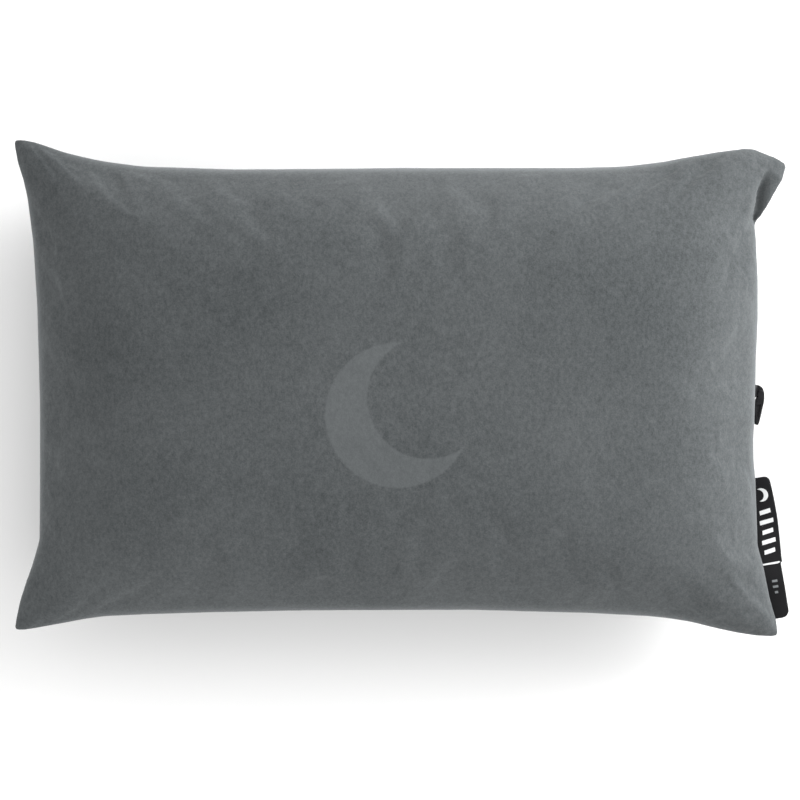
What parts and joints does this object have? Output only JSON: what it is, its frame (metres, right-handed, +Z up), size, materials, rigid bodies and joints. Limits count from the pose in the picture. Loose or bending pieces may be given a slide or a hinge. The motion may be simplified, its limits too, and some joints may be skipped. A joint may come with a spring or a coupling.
{
  "type": "camp pillow",
  "caption": "Soft-faced inflatable camp pillow: grey cover with pointed corners, side zip and folded label, over a foam pad and a baffled air cell with a flat valve.",
  "frame": {"origin": "centre of the flat patch that the pillow rests on, below the middle of its bounding box", "axes": "+X along the pillow towards the end with the zip and the label, +Y towards its upper long edge, +Z up out of the sleeping face"},
  "size_m": [0.4367, 0.2817, 0.102],
  "materials": {
    "microsuede": "short brushed nap",
    "backing": "smooth woven",
    "foam": "open-cell foam",
    "coated_sheet": "coated weave",
    "black_webbing": "woven",
    "black_moulding": "moulded satin",
    "zip_teeth": "coiled monofilament",
    "silicone": "moulded",
    "steel": "plated",
    "pocket_mesh": "open mesh",
    "sack_nylon": "ripstop weave"
  },
  "bodies": {
    "pillow": {"cover_front_panel": "microsuede", "cover_back_panel": "backing", "foam_pad": "foam", "cell_top_sheet": "coated_sheet", "cell_bottom_sheet": "coated_sheet", "cell_beam_1": "coated_sheet", "cell_beam_2": "coated_sheet", "cell_beam_3": "coated_sheet", "cell_beam_4": "coated_sheet", "zip_tape_front": "black_webbing", "zip_tape_back": "black_webbing", "zip_teeth_front": "zip_teeth", "zip_teeth_back": "zip_teeth", "zip_top_stop_front": "steel", "zip_top_stop_back": "steel", "zip_bottom_stop": "steel", "side_label": "black_webbing", "valve_flange": "coated_sheet", "valve_body": "black_moulding", "valve_spring": "steel", "valve_hinge_pin": "steel", "corner_pocket": "pocket_mesh", "stuff_sack": "sack_nylon", "sack_drawcord": "black_webbing", "cord_lock_barrel": "black_moulding", "cord_lock_spring": "steel"},
    "zip_slider": {"zip_slider": "black_moulding"},
    "zip_pull": {"zip_pull": "black_moulding"},
    "valve_cap": {"valve_cap": "black_moulding"},
    "valve_button": {"valve_stem": "black_moulding", "valve_diaphragm": "silicone"},
    "cord_lock_plunger": {"cord_lock_plunger": "black_moulding"}
  },
  "joints": [
    {"name": "zip_slide", "type": "slide", "parent": "pillow", "child": "zip_slider", "axis": [0, 1, 0], "range_m": [0, 0.078]},
    {"name": "pull_swing", "type": "hinge", "parent": "zip_slider", "child": "zip_pull", "pos_m": [0.2045, -0.0024, 0.048], "axis": [0, 0, 1], "range_deg": [0, 165]},
    {"name": "valve_cap_hinge", "type": "hinge", "parent": "pillow", "child": "valve_cap", "pos_m": [-0.18153, 0, 0.01012], "axis": [0, 1, 0], "range_deg": [0, 150]},
    {"name": "valve_press", "type": "slide", "parent": "pillow", "child": "valve_button", "axis": [0.373, 0, 0.9278], "range_m": [0, 0.002], "stiffness_N_per_m": 300, "deforming": ["valve_spring"]},
    {"name": "cord_lock_press", "type": "slide", "parent": "pillow", "child": "cord_lock_plunger", "axis": [-0.5299, 0.848, 0], "range_m": [0, 0.002], "stiffness_N_per_m": 300, "deforming": ["cord_lock_spring"]}
  ]
}
